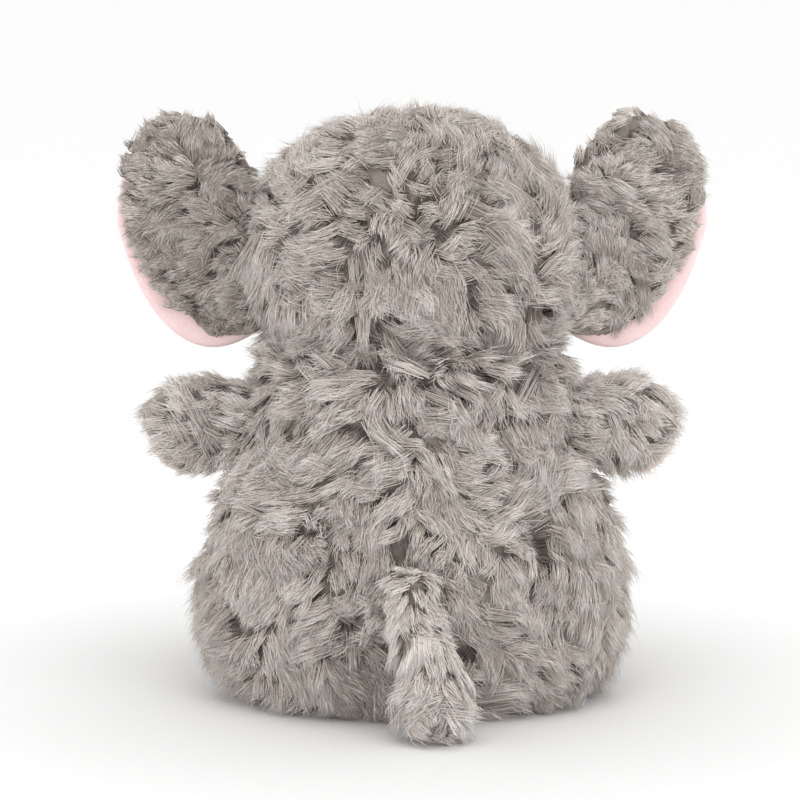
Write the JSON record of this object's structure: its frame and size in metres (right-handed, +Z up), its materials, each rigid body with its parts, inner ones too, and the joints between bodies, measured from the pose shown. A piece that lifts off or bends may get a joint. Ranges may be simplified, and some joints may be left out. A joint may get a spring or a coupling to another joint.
{
  "type": "plush elephant",
  "caption": "Seated plush elephant with long grey pile, pink-lined ears, smooth paw pads and a weighted seat; head, trunk, ears, arms, legs and tail bend at their seams.",
  "frame": {"origin": "on the surface that the toy sits on, under the middle of its bounding box", "axes": "+Z up, the face looks along -Y, +X is the toy's own left"},
  "size_m": [0.1976, 0.1711, 0.2008],
  "materials": {
    "plush": "matte",
    "seat_fabric": "matte",
    "lining": "matte",
    "pad": "matte",
    "filling": "matte",
    "pellets": "matte",
    "eye": "gloss",
    "washer": "matte"
  },
  "bodies": {
    "body": {"body_back_left": "plush", "body_back_right": "plush", "body_belly": "plush", "body_seat": "seat_fabric", "body_filling": "filling", "pellet_pouch": "pellets"},
    "head": {"head_side_left": "plush", "head_side_right": "plush", "head_gusset": "plush", "head_filling": "filling", "eye_left": "eye", "eye_right": "eye", "eye_washer_left": "washer", "eye_washer_right": "washer"},
    "trunk": {"trunk_cover": "plush", "trunk_filling": "filling"},
    "ear_left": {"ear_back_left": "plush", "ear_batting_left": "filling", "ear_lining_left": "lining"},
    "arm_left": {"arm_cover_left": "plush", "arm_filling_left": "filling", "paw_pad_left": "pad"},
    "leg_left": {"leg_cover_left": "plush", "leg_filling_left": "filling", "sole_pad_left": "pad"},
    "ear_right": {"ear_back_right": "plush", "ear_batting_right": "filling", "ear_lining_right": "lining"},
    "arm_right": {"arm_cover_right": "plush", "arm_filling_right": "filling", "paw_pad_right": "pad"},
    "leg_right": {"leg_cover_right": "plush", "leg_filling_right": "filling", "sole_pad_right": "pad"},
    "tail": {"tail_cover": "plush", "tail_filling": "filling"}
  },
  "joints": [
    {"name": "head_nod", "type": "hinge", "parent": "body", "child": "head", "pos_m": [0, 0.00306, 0.15], "axis": [1, 0, 0], "range_deg": [-12, 10], "stiffness_Nm_per_rad": 0.4},
    {"name": "trunk_swing", "type": "hinge", "parent": "head", "child": "trunk", "pos_m": [0, -0.03794, 0.142], "axis": [1, 0, 0], "range_deg": [-25, 10], "stiffness_Nm_per_rad": 0.08},
    {"name": "ear_left_flap", "type": "hinge", "parent": "head", "child": "ear_left", "pos_m": [0.057, 0.00356, 0.15], "axis": [0.1392, 0, -0.9903], "range_deg": [-25, 35], "stiffness_Nm_per_rad": 0.03},
    {"name": "ear_right_flap", "type": "hinge", "parent": "head", "child": "ear_right", "pos_m": [-0.057, 0.00356, 0.15], "axis": [0.1392, 0, 0.9903], "range_deg": [-25, 35], "stiffness_Nm_per_rad": 0.03},
    {"name": "arm_left_swing", "type": "hinge", "parent": "body", "child": "arm_left", "pos_m": [0.05, 0.00106, 0.09], "axis": [0, 0, -1], "range_deg": [-15, 35], "stiffness_Nm_per_rad": 0.05},
    {"name": "arm_right_swing", "type": "hinge", "parent": "body", "child": "arm_right", "pos_m": [-0.05, 0.00106, 0.09], "axis": [0, 0, 1], "range_deg": [-15, 35], "stiffness_Nm_per_rad": 0.05},
    {"name": "leg_left_lift", "type": "hinge", "parent": "body", "child": "leg_left", "pos_m": [0.037, -0.03894, 0.0215], "axis": [-1, 0, 0], "range_deg": [0, 30]},
    {"name": "leg_right_lift", "type": "hinge", "parent": "body", "child": "leg_right", "pos_m": [-0.037, -0.03894, 0.0215], "axis": [-1, 0, 0], "range_deg": [0, 30]},
    {"name": "tail_lift", "type": "hinge", "parent": "body", "child": "tail", "pos_m": [0, 0.06506, 0.046], "axis": [1, 0, 0], "range_deg": [0, 75]}
  ]
}
